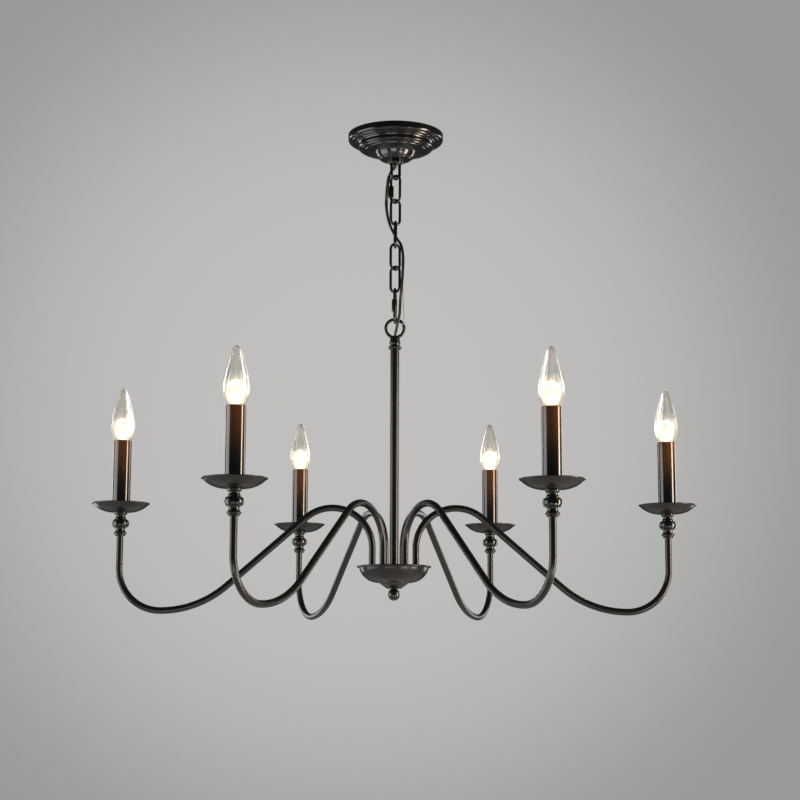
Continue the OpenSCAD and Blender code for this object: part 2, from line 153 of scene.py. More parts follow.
def noise(tree, at, size_mm, **inputs):
    """A noise whose features are about this many millimetres across."""
    return add(tree, "ShaderNodeTexNoise", inputs={"Scale": per_mm(size_mm), **inputs},
               links=[(at, "Vector")])


def smooth_step(tree, source, start, end, low=0.0, high=1.0):
    """A smooth change from low to high as the source runs from start to end."""
    step = add(tree, "ShaderNodeMapRange", {"interpolation_type": "SMOOTHSTEP"},
               {"From Min": start, "From Max": end, "To Min": low, "To Max": high}, [(source, "Value")])
    return step.outputs["Result"]


def two_tone(tree, source, dark, pale, low=0.35, high=0.7):
    """A colour that runs between two tones."""
    tone = add(tree, "ShaderNodeValToRGB", links=[(source, "Fac")])
    return ramp(tone, (low, linear(dark)), (high, linear(pale))).outputs["Color"]


def roughen(tree, shader, source, low, high):
    """Varies the shader's roughness between two values."""
    spread = add(tree, "ShaderNodeMapRange", inputs={"To Min": low, "To Max": high},
                 links=[(source, "Value")])
    tree.links.new(spread.outputs["Result"], shader.inputs["Roughness"])


def emboss(tree, shader, source, strength, depth_mm):
    """Raises the shader's surface by a height."""
    bump = add(tree, "ShaderNodeBump", inputs={"Strength": strength, "Distance": depth_mm * MM},
               links=[(source, "Height")])
    tree.links.new(bump.outputs["Normal"], shader.inputs["Normal"])


def enamel(name, tint, light_tint, rough, rough_spread, peel_mm, peel_depth_mm, coat, coat_rough, lamp_glow_paint=None):
    """Sprayed enamel: a slight orange-peel skin, faint cloudy shifts of tone, and a few dust nibs.
    The last argument, (colour, low height, high height), is painted light: a browner tone painted in towards
    the top for the warm glow of the lamp."""
    material, tree, shader = finish(name, IOR=1.5, Coat_Weight=coat, Coat_Roughness=coat_rough)
    at = add(tree, "ShaderNodeTexCoord").outputs["Object"]
    cloud = noise(tree, at, 60, Detail=4.0)
    colour = two_tone(tree, cloud.outputs["Fac"], tint, light_tint, 0.3, 0.75)
    # Painted light: the browner tone towards the top stands in for the warm glow of the lamp on the enamel.
    if lamp_glow_paint:
        height = add(tree, "ShaderNodeSeparateXYZ", links=[(at, "Vector")]).outputs["Z"]
        share = smooth_step(tree, height, lamp_glow_paint[1], lamp_glow_paint[2])
        painted_glow = add(tree, "ShaderNodeMix", {"data_type": "RGBA"}, {7: linear(lamp_glow_paint[0])},
                    [(share, 0), (colour, 6)])
        colour = painted_glow.outputs[2]
    tree.links.new(colour, shader.inputs["Base Color"])
    smear = noise(tree, at, 14, Detail=6.0, Roughness=0.65)
    roughen(tree, shader, smear.outputs["Fac"], rough - rough_spread, rough + rough_spread)
    peel = noise(tree, at, peel_mm, Detail=2.0)
    nib = add(tree, "ShaderNodeTexVoronoi", inputs={"Scale": per_mm(9)}, links=[(at, "Vector")])
    speck = add(tree, "ShaderNodeMapRange",
                inputs={"From Min": 0.0, "From Max": 0.05, "To Min": 1.0, "To Max": 0.0},
                links=[(nib.outputs["Distance"], "Value")])
    skin = add(tree, "ShaderNodeMath", {"operation": "MULTIPLY_ADD"}, {1: 0.6},
               [(speck.outputs["Result"], 0), (peel.outputs["Fac"], 2)])
    emboss(tree, shader, skin.outputs["Value"], 0.2, peel_depth_mm)
    return material


# Satin black enamel on bent steel tube: an even dark skin with a broad soft sheen.
satin_black = enamel("satin_black_enamel", "#0d0c0b", "#151311", 0.28, 0.03, 5.0, 0.005, 0.2, 0.22)
# Gloss black enamel on turned and spun steel: tight bright highlights, a trace of orange peel.
gloss_black = enamel("gloss_black_enamel", "#080707", "#100f0d", 0.2, 0.04, 3.0, 0.01, 0.5, 0.08)
# Semi-gloss black enamel on thin drawn tube, with painted light: a browner tone towards its top stands in for
# the lamp's warm glow.
SLEEVE_FOOT_Z, SLEEVE_TOP_Z = (c.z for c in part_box("candle_sleeve_1"))
sleeve_black = enamel("sleeve_black_enamel", "#100e0d", "#171311", 0.16, 0.03, 2.6, 0.008, 0.6, 0.06,
                      ("#5a3a20", SLEEVE_FOOT_Z + 30 * MM, SLEEVE_TOP_Z))


def zinc_plate():
    """Zinc-plated mild steel: cool grey, faintly blotched, with fine rolling marks."""
    material, tree, shader = finish("zinc_plated_steel", Metallic=1.0)
    at = add(tree, "ShaderNodeTexCoord").outputs["Object"]
    blotch = noise(tree, at, 7, Detail=5.0).outputs["Fac"]
    tree.links.new(two_tone(tree, blotch, "#8e9296", "#b7babd"), shader.inputs["Base Color"])
    roughen(tree, shader, blotch, 0.28, 0.5)
    stretch = add(tree, "ShaderNodeMapping", inputs={"Scale": (0.08, 1.0, 1.0)}, links=[(at, "Vector")])
    marks = noise(tree, stretch.outputs["Vector"], 0.6, Detail=3.0)
    emboss(tree, shader, marks.outputs["Fac"], 0.3, 0.02)
    return material


def plastic(name, dark, pale, rough, speck_mm, depth_mm, **sockets):
    """Moulded or extruded plastic: a soft broken sheen over a faint grain."""
    material, tree, shader = finish(name, **sockets)
    at = add(tree, "ShaderNodeTexCoord").outputs["Object"]
    grain = noise(tree, at, speck_mm, Detail=4.0).outputs["Fac"]
    tree.links.new(two_tone(tree, grain, dark, pale), shader.inputs["Base Color"])
    roughen(tree, shader, grain, rough - 0.06, rough + 0.06)
    emboss(tree, shader, grain, 0.4, depth_mm)
    return material


# Extruded black PVC flex: a dull skin with a faint drawn grain.
cord_black = plastic("black_pvc_flex", "#121212", "#1f1e1e", 0.42, 1.2, 0.02, IOR=1.53)
# Moulded phenolic: brown-black with fine filler specks.
phenolic = plastic("black_phenolic", "#1f1c1a", "#312b27", 0.35, 0.5, 0.015, IOR=1.63)
# Glossy moulded polypropylene of a twist-on connector.
connector = plastic("orange_polypropylene", "#b4571a", "#c96a22", 0.3, 1.0, 0.02, IOR=1.49)
# Clear PVC sheath: thin and see-through, brighter along its edges.
clear_pvc = plastic("clear_pvc_sheath", "#c9c6bd", "#dcd9d0", 0.2, 1.5, 0.01, IOR=1.53, Alpha=0.35)
# Clear lead glass of the lamp's inner mount.
mount_glass = plastic("clear_mount_glass", "#e9ece6", "#f6f7f2", 0.08, 4.0, 0.005, IOR=1.55, Alpha=0.3)


def bare_metal(name, dark, pale, rough):
    """Drawn metal: a soft brushed look with slight darkening in patches."""
    material, tree, shader = finish(name, Metallic=1.0)
    at = add(tree, "ShaderNodeTexCoord").outputs["Object"]
    patch = noise(tree, at, 3, Detail=5.0).outputs["Fac"]
    tree.links.new(two_tone(tree, patch, dark, pale), shader.inputs["Base Color"])
    roughen(tree, shader, patch, rough - 0.08, rough + 0.1)
    return material


zinc = zinc_plate()
# Nickel-plated brass of the lamp's screw cap.
nickel = bare_metal("nickel_plated_brass", "#8f8a80", "#c2bcae", 0.25)
# Tinned copper strands of the ground wire.
tinned = bare_metal("tinned_copper_strand", "#9a8f80", "#cfc6b8", 0.3)


# How brightly a lit lamp's glass glows at its middle.
GLOW = 0.8


def lamp_glass(low_z, glow_top_z):
    """Blown clear glass with a faint ripple. The lamp's light fills its lower part, most in the middle."""
    material, tree, shader = finish(
        "clear_blown_glass", IOR=1.5, Transmission_Weight=1.0, Roughness=0.02, Alpha=0.45,
        Base_Color=linear("#fffaf0"), Emission_Color=linear("#fff0d2"))
    facing = add(tree, "ShaderNodeLayerWeight", inputs={"Blend": 0.5}).outputs["Facing"]
    at = add(tree, "ShaderNodeTexCoord").outputs["Object"]
    height = add(tree, "ShaderNodeSeparateXYZ", links=[(at, "Vector")]).outputs["Z"]
    fill = smooth_step(tree, height, low_z, glow_top_z, 1.0, 0.0)
    core = smooth_step(tree, facing, 0.0, 0.55, 1.0, 0.05)
    lit = add(tree, "ShaderNodeMath", {"operation": "MULTIPLY"}, {}, [(fill, 0), (core, 1)])
    strength = add(tree, "ShaderNodeMath", {"operation": "MULTIPLY"}, {1: GLOW}, [(lit.outputs["Value"], 0)])
    tree.links.new(strength.outputs["Value"], shader.inputs["Emission Strength"])
    ripple = noise(tree, at, 12, Detail=1.0)
    emboss(tree, shader, ripple.outputs["Fac"], 0.2, 0.05)
    return material


def glowing(name, colour, strength):
    """A coiled tungsten wire, white hot; a faint noise keeps its turns uneven."""
    material, tree, shader = finish(
        name, Roughness=0.5, Base_Color=linear("#fff1d0"), Emission_Color=linear(colour))
    at = add(tree, "ShaderNodeTexCoord").outputs["Object"]
    flicker = noise(tree, at, 1.5)
    level = add(tree, "ShaderNodeMapRange", inputs={"To Min": 0.8 * strength, "To Max": 1.2 * strength},
                links=[(flicker.outputs["Fac"], "Value")])
    tree.links.new(level.outputs["Result"], shader.inputs["Emission Strength"])
    return material


filament_glow = glowing("hot_tungsten", "#ffe6bd", 9.0)

# ---- making pieces ----


def piece(name, mesh, body, slot, material, *nodes):
    """Links a finished mesh as a piece that rides on a body and stands for CAD nodes."""
    mesh.materials.clear()
    mesh.materials.append(material)
    made = put(bpy.data.objects.new(name, mesh))
    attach(made, body)
    if nodes:
        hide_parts(*nodes)
    return made


def rounded(corners, arc_steps=5):
    """A polyline of (x, y) or (x, y, fillet radius) corners, with each filleted corner turned into an arc."""
    points = []
    last = len(corners) - 1
    for i, corner in enumerate(corners):
        here = Vector(corner[:2])
        fillet = corner[2] if len(corner) > 2 else 0
        if not fillet or i in (0, last):
            points.append(here)
            continue
        back = Vector(corners[i - 1][:2]) - here
        on = Vector(corners[i + 1][:2]) - here
        turn = back.angle(on)
        if turn > math.radians(178):
            points.append(here)
            continue
        reach = min(fillet / math.tan(turn / 2), 0.48 * back.length, 0.48 * on.length)
        a = here + back.normalized() * reach
        b = here + on.normalized() * reach
        for s in range(arc_steps + 1):
            t = s / arc_steps
            points.append((1 - t) ** 2 * a + 2 * t * (1 - t) * here + t ** 2 * b)
    return points


def bridge(shape, low, high):
    """Adds the faces between two rings of vertices."""
    count = len(low)
    for s in range(count):
        shape.faces.new((low[s], low[(s + 1) % count], high[(s + 1) % count], high[s]))


def lathe(name, profile_mm, centre=(0, 0), turns=96, closed=False):
    """Turns a profile of (radius, height) in mm about the vertical axis through centre."""
    shape = bmesh.new()
    rings = []
    for r, z in profile_mm:
        rings.append([
            shape.verts.new((
                centre[0] + r * MM * math.cos(2 * math.pi * s / turns),
                centre[1] + r * MM * math.sin(2 * math.pi * s / turns),
                z * MM))
            for s in range(turns)])
    pairs = list(zip(rings, rings[1:])) + ([(rings[-1], rings[0])] if closed else [])
    for low, high in pairs:
        bridge(shape, low, high)
    bmesh.ops.remove_doubles(shape, verts=shape.verts, dist=1e-6)
    bmesh.ops.dissolve_degenerate(shape, edges=shape.edges, dist=1e-7)
    bmesh.ops.recalc_face_normals(shape, faces=shape.faces)
    return as_mesh(name, shape)


def as_mesh(name, shape, sharp_deg=50):
    """Writes a bmesh out as a smooth mesh with its hard edges kept."""
    mesh = bpy.data.meshes.new(name)
    shape.to_mesh(mesh)
    shape.free()
    mesh.shade_smooth()
    mesh.set_sharp_from_angle(angle=math.radians(sharp_deg))
    return mesh


def settled(holder):
    """An object's mesh with its modifiers applied. The object itself is removed."""
    bpy.context.view_layer.update()
    made = bpy.data.meshes.new_from_object(holder.evaluated_get(bpy.context.evaluated_depsgraph_get()))
    bpy.data.objects.remove(holder)
    return made


def joined(name, *meshes):
    """Several meshes as one."""
    shape = bmesh.new()
    for mesh in meshes:
        shape.from_mesh(mesh)
        bpy.data.meshes.remove(mesh)
    return as_mesh(name, shape)


def arc(centre, radius, from_deg, to_deg, steps):
    """Points along an arc in the XZ plane."""
    turns = [math.radians(from_deg + (to_deg - from_deg) * i / steps) for i in range(steps + 1)]
    return [Vector((centre[0] + radius * math.cos(a), 0, centre[1] + radius * math.sin(a))) for a in turns]


def smooth_path(points, steps=4):
    """A Catmull-Rom curve through the points."""
    ends = [2 * points[0] - points[1], *points, 2 * points[-1] - points[-2]]
    path = []
    for a, b, c, d in zip(ends, ends[1:], ends[2:], ends[3:]):
        for s in range(steps):
            t = s / steps
            path.append(0.5 * ((2 * b) + (c - a) * t + (2 * a - 5 * b + 4 * c - d) * t * t
                               + (3 * b - a - 3 * c + d) * t ** 3))
    path.append(points[-1])
    return path


def tube_tree():
    """Geometry Nodes: a tube of a given radius along a curve."""
    tree = bpy.data.node_groups.new("tube_along_path", "GeometryNodeTree")
    face = tree.interface
    face.new_socket("Path", in_out="INPUT", socket_type="NodeSocketGeometry")
    radius = face.new_socket("Radius", in_out="INPUT", socket_type="NodeSocketFloat")
    sides = face.new_socket("Sides", in_out="INPUT", socket_type="NodeSocketInt")
    paint = face.new_socket("Paint", in_out="INPUT", socket_type="NodeSocketMaterial")
    face.new_socket("Tube", in_out="OUTPUT", socket_type="NodeSocketGeometry")
    start = add(tree, "NodeGroupInput")
    ring = add(tree, "GeometryNodeCurvePrimitiveCircle",
               links=[(start.outputs["Radius"], "Radius"), (start.outputs["Sides"], "Resolution")])
    tube = add(tree, "GeometryNodeCurveToMesh", inputs={"Fill Caps": True},
               links=[(start.outputs["Path"], "Curve"), (ring.outputs["Curve"], "Profile Curve")])
    real = add(tree, "GeometryNodeRealizeInstances", links=[(tube.outputs["Mesh"], "Geometry")])
    painted = add(tree, "GeometryNodeSetMaterial",
                  links=[(real.outputs["Geometry"], "Geometry"), (start.outputs["Paint"], "Material")])
    add(tree, "NodeGroupOutput", links=[(painted.outputs["Geometry"], "Tube")])
    return tree, radius.identifier, sides.identifier, paint.identifier


TUBE, TUBE_RADIUS, TUBE_SIDES, TUBE_PAINT = tube_tree()


def tube(name, path, radius, sides, material, cyclic=False):
    """A round tube or wire along a path, made by the tube tree and returned as a plain mesh."""
    curve = bpy.data.curves.new(name + "_path", "CURVE")
    curve.dimensions = "3D"
    spline = curve.splines.new("POLY")
    spline.points.add(len(path) - 1)
    for point, place in zip(spline.points, path):
        point.co = (*place, 1)
    spline.use_cyclic_u = cyclic
    holder = put(bpy.data.objects.new(name + "_path", curve))
    modifier = holder.modifiers.new("tube", "NODES")
    modifier.node_group = TUBE
    modifier[TUBE_RADIUS] = radius
    modifier[TUBE_SIDES] = sides
    modifier[TUBE_PAINT] = material
    made = settled(holder)
    bpy.data.curves.remove(curve)
    shape = bmesh.new()
    shape.from_mesh(made)
    bpy.data.meshes.remove(made)
    bmesh.ops.remove_doubles(shape, verts=shape.verts, dist=1e-7)
    bmesh.ops.recalc_face_normals(shape, faces=shape.faces)
    return as_mesh(name, shape)


def turned_mesh(mesh, degrees, at):
    """Turns a mesh about the vertical axis at its own origin, then moves it to a place."""
    mesh.transform(Matrix.Translation(at) @ Matrix.Rotation(math.radians(degrees), 4, "Z"))
    return mesh


# ---- cords: the power cord and the ground wire follow the chain from the collar to the stem ----

CORD_ROUTE_MM = [
    (0, 0, -38), (0, 0, -46), (-1.5, 2, -50), (-5, 3.5, -54), (-8, 3, -59), (-9.5, 1, -65), (-10.5, -1, -71),
    (-11.5, -2.5, -78), (-12.5, -3, -86), (-13, -2.5, -95), (-13.5, -1, -104), (-13.5, 0, -113),
    (-12.5, 1, -122), (-11, 1, -131), (-8.5, 0.5, -140), (-5.5, 0, -148), (-2, 0, -155), (1.5, 0, -161),
    (5.5, -0.5, -167), (9, -2, -174), (11, -3.5, -183), (12, -4.5, -193), (12, -5.5, -204),
    (11.5, -6.5, -215), (11, -7.5, -226), (10, -8.5, -237), (9, -8.5, -248), (8, -7, -259), (7.5, -6.5, -270),
    (7, -6.5, -280), (5.5, -6.5, -288), (4, -5.5, -295), (2.5, -3.5, -302), (1, -1.2, -309), (0, 0, -315),
    (0, 0, -326)]
GROUND_ROUTE_MM = [
    (2.9, 0, -38), (2.9, 0, -47), (1.5, 3.2, -51), (-3, 5.9, -53.5), (-7.5, 6.2, -57), (-11.5, 4, -63),
    (-13, 1, -70), (-14, 0.5, -78), (-15, 0.5, -88), (-15.5, 1, -98), (-16, 2, -108), (-15, 3, -118),
    (-13.5, 3.8, -127), (-11, 4, -136), (-8, 3.5, -144), (-5, 3, -151), (-1.5, 3, -157), (2.5, 3.5, -162),
    (6.5, 3.4, -165.5), (10, 2.5, -170), (11.5, 1, -178), (11, 0.5, -188), (10, -0.5, -199), (10.5, -1, -210),
    (11.5, -2, -221), (12, -3, -232), (12, -3.5, -243), (12, -4, -254), (12.5, -4.5, -265), (13, -5, -275),
    (13.5, -5.5, -284), (13, -5.5, -290), (12, -5.2, -293)]


def carried(path):
    """A frame of (side, up) directions carried along a path without twist."""
    side = Vector((1, 0, 0))
    frames = []
    for i in range(len(path)):
        along = (path[min(i + 1, len(path) - 1)] - path[max(i - 1, 0)]).normalized()
        side = (side - along * side.dot(along)).normalized()
        frames.append((side.copy(), along.cross(side)))
    return frames


def swept(name, path, frames, outlines):
    """Sweeps one or more closed outlines of (side, up) points along a path, with flat ends."""
    shape = bmesh.new()
    for outline in outlines:
        rings = [[shape.verts.new(p + side * u + up * v) for u, v in outline]
                 for p, (side, up) in zip(path, frames)]
        for low, high in zip(rings, rings[1:]):
            bridge(shape, low, high)
        shape.faces.new(rings[0][::-1])
        shape.faces.new(rings[-1])
    bmesh.ops.recalc_face_normals(shape, faces=shape.faces)
    return as_mesh(name, shape)


def circle_outline(radius, sides, u=0.0, v=0.0):
    """A circle's outline about the place (u, v)."""
    return [(u + radius * math.cos(2 * math.pi * s / sides), v + radius * math.sin(2 * math.pi * s / sides))
            for s in range(sides)]


def twin_outline(half_width, half_height, sides=14):
    """The outline of a flat twin flex: two round cores side by side with a shallow groove between them."""
    gap = half_width - half_height
    right = [(gap + half_height * math.cos(a), half_height * math.sin(a))
             for a in [math.radians(-125 + 250 * s / sides) for s in range(sides + 1)]]
    return right + [(-u, -v) for u, v in right]


def laid_on_chain(name, route_mm, layers):
    """Splits a cord at the middle of each link, so each stretch spans one joint of the chain."""
    path = smooth_path([Vector(p) * MM for p in route_mm])
    frames = carried(path)
    cuts = [None, *[(PIVOTS[i] + PIVOTS[i + 1]) / 2 for i in range(6)], None]
    marks = [0]
    for cut in cuts[1:-1]:
        marks.append(min(range(len(path)), key=lambda i: abs(path[i].z - cut)))
    marks.append(len(path) - 1)
    for i in range(7):
        first, last = marks[i], marks[i + 1]
        if last <= first:
            continue
        for layer, (outlines, material) in layers.items():
            mesh = swept(f"{name}_{layer}_{i + 1}", path[first:last + 1], frames[first:last + 1], outlines)
            mesh.materials.append(material)
            made = put(bpy.data.objects.new(mesh.name, mesh))
            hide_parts(name)
            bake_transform(made)


laid_on_chain("power_cord", CORD_ROUTE_MM,
              {"flex": ([twin_outline(2.1 * MM, 1.2 * MM)], cord_black)})
laid_on_chain("ground_wire", GROUND_ROUTE_MM, {
    "strands": ([circle_outline(0.2 * MM, 8, 0.22 * MM * math.cos(a), 0.22 * MM * math.sin(a))
                 for a in (0.0, 2.1, 4.2)], tinned),
    "sheath": ([circle_outline(0.7 * MM, 14)], clear_pvc)})

# ---- ceiling: canopy, collar ring and hanging loop ----

canopy_low, canopy_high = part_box("canopy")
CANOPY_R = canopy_high.x / MM
CANOPY_FOOT = canopy_low.z / MM
CANOPY_WALL = 1.2
COLLAR_R = 9.7
HOLE_R = COLLAR_R + 0.3
# r is the rim's radius and d the canopy's depth.
r, d = CANOPY_R, -CANOPY_FOOT
canopy_outer = rounded([
    (r, 0), (r, -8, 2.5), (r - 0.8, -10, 1.5), (r - 3, -11.3, 1.0), (r - 5, -11.3, 0.3),
    (r - 5.2, -12.9, 0.6), (r - 7.4, -13.4, 0.6), (r - 8, -12.8, 0.3), (r - 11, -13.2, 0.3),
    (r - 11.3, -14.4, 0.5), (r - 13, -14.8, 0.5), (r - 14.5, -14.2, 0.4),
    (r - 15.3, -16, 0.5), (r - 15.5, -20.5, 1.5), (r - 17, -22.4, 0.8),
    (r - 19.3, -22.6, 0.3), (r - 19.6, -24.0, 0.5), (r - 21.6, -24.4, 0.5), (r - 22.2, -23.9, 0.3),
    (r - 25.4, -24.5, 0.3), (r - 25.8, -25.4, 0.4), (r - 27.4, -25.6, 0.4), (r - 28, -25.1, 0.3),
    (r - 40.5, -27.2, 1.5), (r - 42.5, -29.5, 2), (r - 44.2, 7 - d, 2.5), (r - 46.2, 3.6 - d, 2.0),
    (r - 48.5, 2.4 - d, 0.6), (r - 49.2, 1.2 - d, 0.5), (r - 52, 0.9 - d, 0.8), (14.5, 0.2 - d, 0.5),
    (HOLE_R, 0.2 - d)], 3)
canopy_inner = [Vector((p.x - CANOPY_WALL, p.y + CANOPY_WALL)) for p in canopy_outer
                if p.x - CANOPY_WALL > HOLE_R and p.y + CANOPY_WALL < -0.2]
canopy_inner = [Vector((r - CANOPY_WALL, 0))] + canopy_inner + [Vector((HOLE_R, CANOPY_WALL + 0.2 - d))]
piece("canopy_shell", lathe("canopy_shell", canopy_outer + canopy_inner[::-1], turns=160, closed=True),
      "canopy", "gloss_black", gloss_black, "canopy")

ring_low, ring_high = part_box("collar_ring")
ring_r, ring_top, ring_foot = ring_high.x / MM, ring_high.z / MM, ring_low.z / MM
ring_profile = rounded([
    (COLLAR_R + 0.05, ring_top), (ring_r - 0.5, ring_top), (ring_r, ring_top - 0.5, 0.4),
    (ring_r, ring_foot + 0.9, 0.9), (ring_r - 0.9, ring_foot, 0.9), (COLLAR_R + 0.05, ring_foot)])
piece("collar_ring_turned", lathe("collar_ring_turned", ring_profile, closed=True),
      "canopy", "gloss_black", gloss_black, "collar_ring")

loop_low, loop_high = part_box("canopy_loop")
# The thread on the loop's collar, in mm.
COLLAR_PITCH = 1.0
COLLAR_GROOVE = 0.45
LOOP_WIRE_R = 2.3 * MM
LOOP_BEND_R = 7.2 * MM
LOOP_TURN = 33
collar_top = loop_high.z
collar_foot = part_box("collar_ring")[0].z - 0.5 * MM
bow_z = loop_low.z + LOOP_WIRE_R + LOOP_BEND_R
bow = [Vector((-LOOP_BEND_R, 0, collar_foot + 3 * MM)), Vector((-LOOP_BEND_R, 0, bow_z + 4 * MM)),
       *arc((0, bow_z), LOOP_BEND_R, 180, 360, 32), Vector((LOOP_BEND_R, 0, bow_z + 4 * MM)),
       Vector((LOOP_BEND_R, 0, collar_foot + 3 * MM))]
collar_z = collar_top / MM
foot_z = collar_foot / MM
thread = []
z = collar_z - 0.5
while z > foot_z + 4:
    thread += [(COLLAR_R, z), (COLLAR_R - COLLAR_GROOVE, z - 0.5)]
    z -= COLLAR_PITCH
piece("hanging_loop", joined(
    "hanging_loop",
    turned_mesh(tube("loop_bow", bow, LOOP_WIRE_R, 28, gloss_black), LOOP_TURN, (0, 0, 0)),
    lathe("loop_collar", [(4.85, collar_z), (COLLAR_R - 0.5, collar_z), *thread,
                          (COLLAR_R, foot_z + 3), (COLLAR_R, foot_z + 0.6), (COLLAR_R - 0.6, foot_z),
                          (4.4, foot_z), (4.4, foot_z + 8), (4.85, foot_z + 8)], closed=True)),
    "ceiling", "gloss_black", gloss_black, "canopy_loop")

# ---- chain ----

WIRE_R = 2 * MM
LINK_BEND_R = 8 * MM
LINK_TURNS = [-32, 32, 96, 32, -32, 84]
link_box = [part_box(f"chain_link_{k}") for k in LINKS]


def link_path(low, high, opening=None):
    """A link's wire in the XZ plane, from its lowest to its highest wire centre.
    An opening leaves a gap on the left."""
    foot, top = low + LINK_BEND_R, high - LINK_BEND_R
    bends = [*arc((0, foot), LINK_BEND_R, 180, 360, 24), *arc((0, top), LINK_BEND_R, 0, 180, 24)]
    if opening is None:
        return bends
    return [Vector((-LINK_BEND_R, 0, opening[0])), *bends, Vector((-LINK_BEND_R, 0, opening[1]))]


LINK_NUT_R = 4.1
LINK_NUT_BORE_R = 2.05
nuts = {1: "top_link_nut", 6: "low_link_nut"}
for k in LINKS:
    low, high = link_box[k - 1][0].z + WIRE_R, link_box[k - 1][1].z - WIRE_R
    opening = None
    if k in nuts:
        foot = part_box(nuts[k])[0].z
        opening = (foot + 1 * MM, foot + 4 * MM)
    wire = tube(f"link_{k}", link_path(low, high, opening), WIRE_R, 20, gloss_black, opening is None)
    turned_mesh(wire, LINK_TURNS[k - 1], (0, 0, 0))
    piece(f"chain_link_wire_{k}", wire, f"link_{k}", "gloss_black", gloss_black, f"chain_link_{k}")

for k, node in nuts.items():
    low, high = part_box(node)
    at = middle(node)
    a, b = low.z / MM, high.z / MM
    nut = lathe(node, rounded([
        (LINK_NUT_BORE_R, a), (LINK_NUT_R - 1.2, a), (LINK_NUT_R, a + 1.2, 1.2), (LINK_NUT_R, b - 1.2, 1.2),
        (LINK_NUT_R - 1.2, b), (LINK_NUT_BORE_R, b)]), (at.x, at.y), 40, closed=True)
    piece(f"{node}_barrel", nut, "top_nut" if k == 1 else "low_nut", "gloss_black", gloss_black, node)

# ---- stem: ring, beads, tube and ground screw ----

loop_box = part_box("stem_loop")
RING_WIRE_R = 2.35
RING_R = 13.75
ring_z = loop_box[1].z / MM - RING_WIRE_R - RING_R
neck_z = ring_z - RING_R
ring_path = arc((0, ring_z * MM), RING_R * MM, 0, 360, 96)[:-1]
stem_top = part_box("stem_tube")[1].z / MM
beads = rounded([
    (0, neck_z + 1.4), (4.5, neck_z + 1.4), (7.3, neck_z - 1.2, 1.5), (7.3, ring_z - 20.8, 0.3),
    (8.0, ring_z - 20.8, 0.6), (8.6, ring_z - 22.6, 1.8), (8.0, ring_z - 24.4, 0.6),
    (7.3, ring_z - 24.4, 0.3), (7.3, ring_z - 27.2, 0.3), (8.8, ring_z - 27.3, 1.0),
    (10.5, ring_z - 29.6, 2.4), (8.8, ring_z - 31.9, 1.0), (7.3, ring_z - 32.0, 0.3),
    (7.3, ring_z - 32.4), (0, ring_z - 32.4)], 6)
piece("stem_ring_and_beads", joined(
    "stem_ring_and_beads",
    tube("stem_ring", ring_path, RING_WIRE_R * MM, 28, gloss_black, cyclic=True),
    lathe("stem_beads", beads)), "fixture", "gloss_black", gloss_black, "stem_loop")

STEM_BORE_R = 3.05
STEM_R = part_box("stem_tube")[1].x / MM
stem_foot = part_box("stem_tube")[0].z / MM
piece("stem_tube_drawn", lathe("stem_tube_drawn", rounded([
    (STEM_BORE_R, stem_foot), (STEM_R - 0.6, stem_foot), (STEM_R, stem_foot + 0.6, 0.4),
    (STEM_R, stem_top - 0.3, 0.2), (STEM_R - 0.3, stem_top, 0.2), (STEM_BORE_R, stem_top)]), closed=True),
    "fixture", "satin_black", satin_black, "stem_tube")


def cross_screw(name, at, direction, head_r, head_h):
    """A small pan-head screw with a cross recess, its head pointing along direction."""
    turns = 32
    shape = bmesh.new()
    profile = rounded([(0, head_h), (0.45 * head_r, 0.98 * head_h),
                       (0.85 * head_r, 0.72 * head_h, 0.3 * head_r),
                       (head_r, 0.1 * head_h, 0.1 * head_r), (head_r, 0), (0, 0)], 4)
    angles = [2 * math.pi * s / turns for s in range(turns)]
    rings = [[shape.verts.new((p.x * math.cos(a), p.x * math.sin(a), p.y)) for a in angles] for p in profile]
    for low, high in zip(rings, rings[1:]):
        bridge(shape, low, high)
    bmesh.ops.remove_doubles(shape, verts=shape.verts, dist=1e-7)
    bmesh.ops.recalc_face_normals(shape, faces=shape.faces)
    holder = put(bpy.data.objects.new(name + "_blank", as_mesh(name, shape)))
    cutter_shape = bmesh.new()
    for size in ((1.2 * head_r, 0.22 * head_r), (0.22 * head_r, 1.2 * head_r)):
        made = bmesh.ops.create_cube(cutter_shape, size=1)
        bmesh.ops.scale(cutter_shape, vec=(*size, 0.7 * head_h), verts=made["verts"])
        bmesh.ops.translate(cutter_shape, vec=(0, 0, head_h), verts=made["verts"])
    cutter = put(bpy.data.objects.new(name + "_cross", as_mesh(name + "_cross", cutter_shape)))
    cut = holder.modifiers.new("cross", "BOOLEAN")
    cut.object = cutter
    cut.operation = "DIFFERENCE"
    cut.solver = "EXACT"
    cut.use_self = True
    result = settled(holder)
    bpy.data.objects.remove(cutter)
    result.transform(Matrix.Translation(at) @ direction.to_track_quat("Z", "Y").to_matrix().to_4x4())
    result.shade_smooth()
    result.set_sharp_from_angle(angle=math.radians(40))
    return result


SCREW_HEAD_R = 2.3 * MM
SCREW_HEAD_H = 1.9 * MM
screw_at = middle("ground_screw")
screw_at.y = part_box("ground_screw")[1].y
screw_head = cross_screw("ground_screw_head", screw_at, Vector((0, -1, 0)), SCREW_HEAD_R, SCREW_HEAD_H)
piece("ground_screw_head", screw_head, "fixture", "zinc_steel", zinc, "ground_screw")

# ---- hub: cup, finial, plate and nuts ----

cup_low, cup_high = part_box("hub_cup")
LIP_R = cup_high.x / MM
RIM_Z = cup_high.z / MM
CUP_FOOT = cup_low.z / MM
BOWL_X = LIP_R - 30.8
BOWL_R = 28.2
FLAT_Z = CUP_FOOT + 8.7
WALL = 1.2


